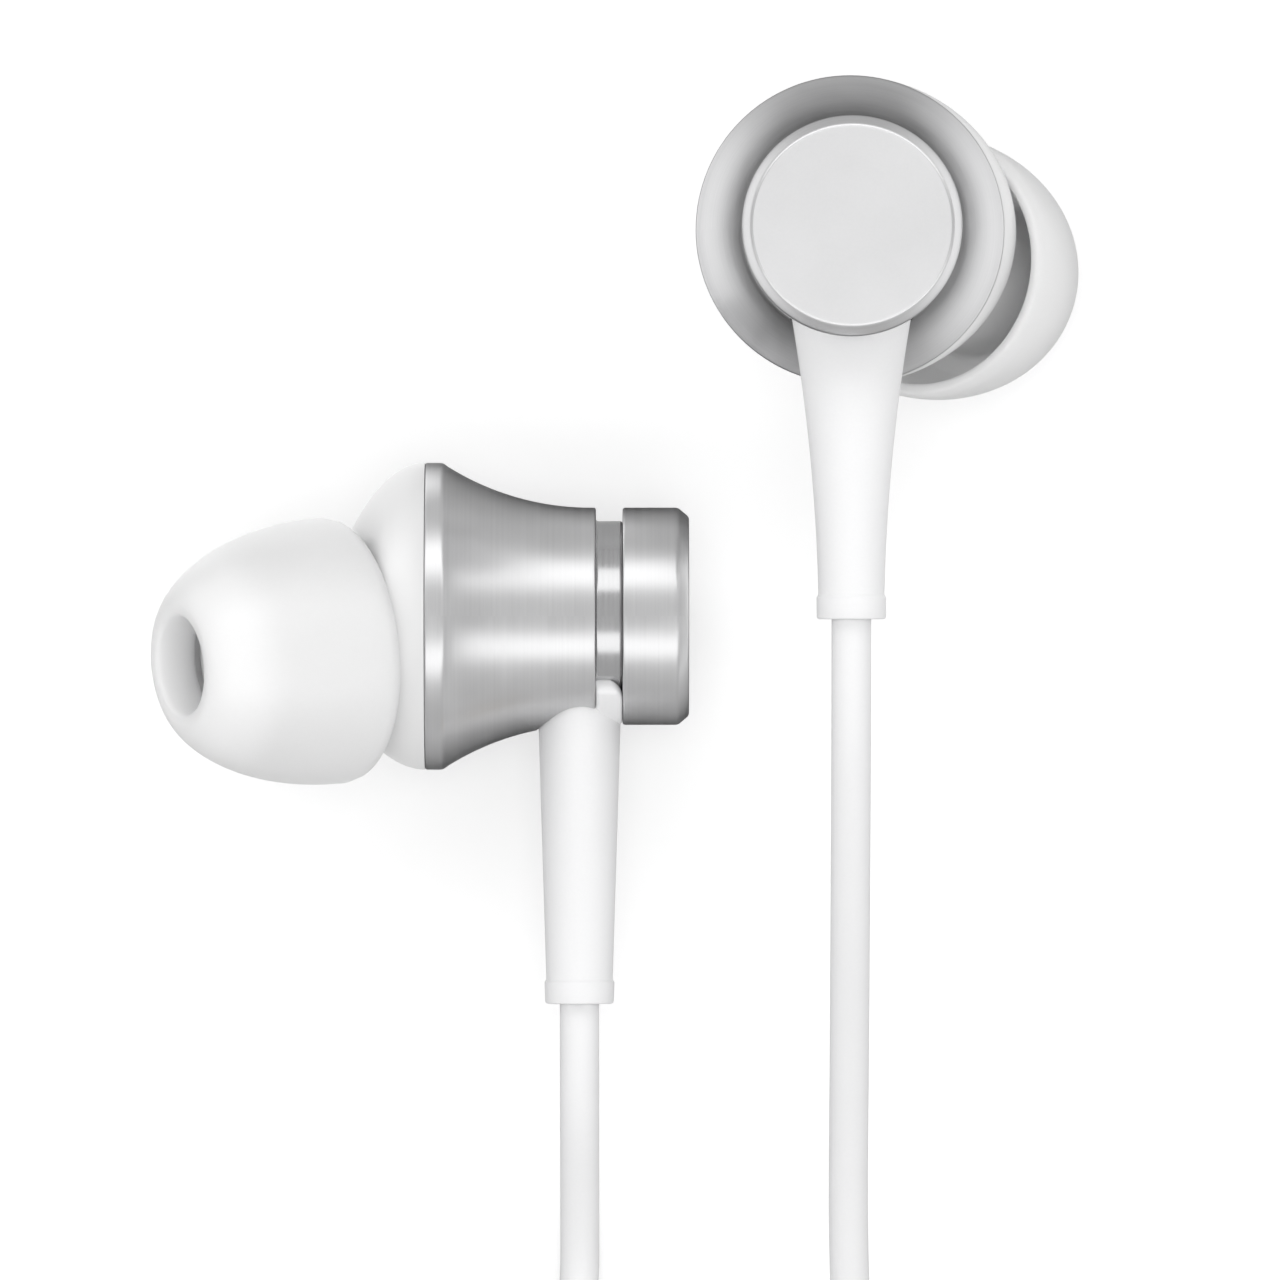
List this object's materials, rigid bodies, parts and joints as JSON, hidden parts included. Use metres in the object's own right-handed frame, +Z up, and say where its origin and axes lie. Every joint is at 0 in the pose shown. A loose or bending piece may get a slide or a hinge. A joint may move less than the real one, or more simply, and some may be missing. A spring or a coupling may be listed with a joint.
{
  "type": "wired in-ear earphones",
  "caption": "Pair of wired in-ear earphones with turned metal bodies, white canted nozzles, silicone ear tips, a coiled cord with a call remote and an audio plug.",
  "frame": {"origin": "bottom centre of the box round the two earphones, on the table they lie on", "axes": "+X to the right of the picture, +Y up the picture, +Z up from the table towards the camera"},
  "size_m": [0.0441, 0.1193, 0.0239],
  "materials": {
    "aluminium": "satin turned",
    "white_plastic": "moulded, semi-gloss",
    "silicone": "translucent white silicone",
    "soft_white": "matt soft jacket",
    "steel": "plain",
    "magnet": "nickel plated",
    "copper": "enamelled wire",
    "film": "thin film",
    "black_plastic": "matt",
    "felt": "felt",
    "circuit_board": "solder mask",
    "gold_plate": "plated, bright",
    "tie_band": "matt band"
  },
  "bodies": {
    "headset": {"cord_tie": "tie_band", "lead_tie": "tie_band", "left_body_shell": "aluminium", "left_driver_frame": "black_plastic", "left_front_housing": "white_plastic", "left_lead": "soft_white", "left_lead_coil": "soft_white", "left_lead_end": "soft_white", "left_magnet": "magnet", "left_nozzle_damper": "felt", "left_nozzle_mesh": "steel", "left_rear_cap": "aluminium", "left_strain_relief": "soft_white", "left_terminal_board": "circuit_board", "left_top_plate": "steel", "left_yoke_cup": "steel", "main_cord": "soft_white", "main_cord_coil": "soft_white", "main_cord_end": "soft_white", "plug_core": "black_plastic", "plug_grip": "aluminium", "plug_relief": "soft_white", "plug_ring_inner": "gold_plate", "plug_ring_outer": "gold_plate", "plug_sleeve": "gold_plate", "plug_tip": "gold_plate", "remote_back_shell": "white_plastic", "remote_board": "circuit_board", "remote_front_shell": "white_plastic", "remote_microphone": "steel", "remote_switch": "steel", "right_body_shell": "aluminium", "right_driver_frame": "black_plastic", "right_front_housing": "white_plastic", "right_lead": "soft_white", "right_lead_coil": "soft_white", "right_lead_end": "soft_white", "right_magnet": "magnet", "right_nozzle_damper": "felt", "right_nozzle_mesh": "steel", "right_rear_cap": "aluminium", "right_strain_relief": "soft_white", "right_terminal_board": "circuit_board", "right_top_plate": "steel", "right_yoke_cup": "steel"},
    "left_tip": {"left_eartip": "silicone"},
    "right_tip": {"right_eartip": "silicone"},
    "left_cone": {"left_diaphragm": "film", "left_voice_coil": "copper"},
    "right_cone": {"right_diaphragm": "film", "right_voice_coil": "copper"},
    "call_button": {"call_button": "aluminium"}
  },
  "joints": [
    {"name": "left_tip_pull", "type": "slide", "parent": "headset", "child": "left_tip", "axis": [-0.8798, -0.0889, 0.467], "range_m": [0, 0.0065]},
    {"name": "right_tip_pull", "type": "slide", "parent": "headset", "child": "right_tip", "axis": [0.467, -0.0889, -0.8798], "range_m": [0, 0.0065]},
    {"name": "left_cone_travel", "type": "slide", "parent": "headset", "child": "left_cone", "axis": [-1, 0, 0], "range_m": [-0.0002, 0.0002], "stiffness_N_per_m": 30},
    {"name": "right_cone_travel", "type": "slide", "parent": "headset", "child": "right_cone", "axis": [0, 0, -1], "range_m": [-0.0002, 0.0002], "stiffness_N_per_m": 30},
    {"name": "call_button_press", "type": "slide", "parent": "headset", "child": "call_button", "axis": [0, 0, -1], "range_m": [0, 0.00035], "stiffness_N_per_m": 4000}
  ]
}
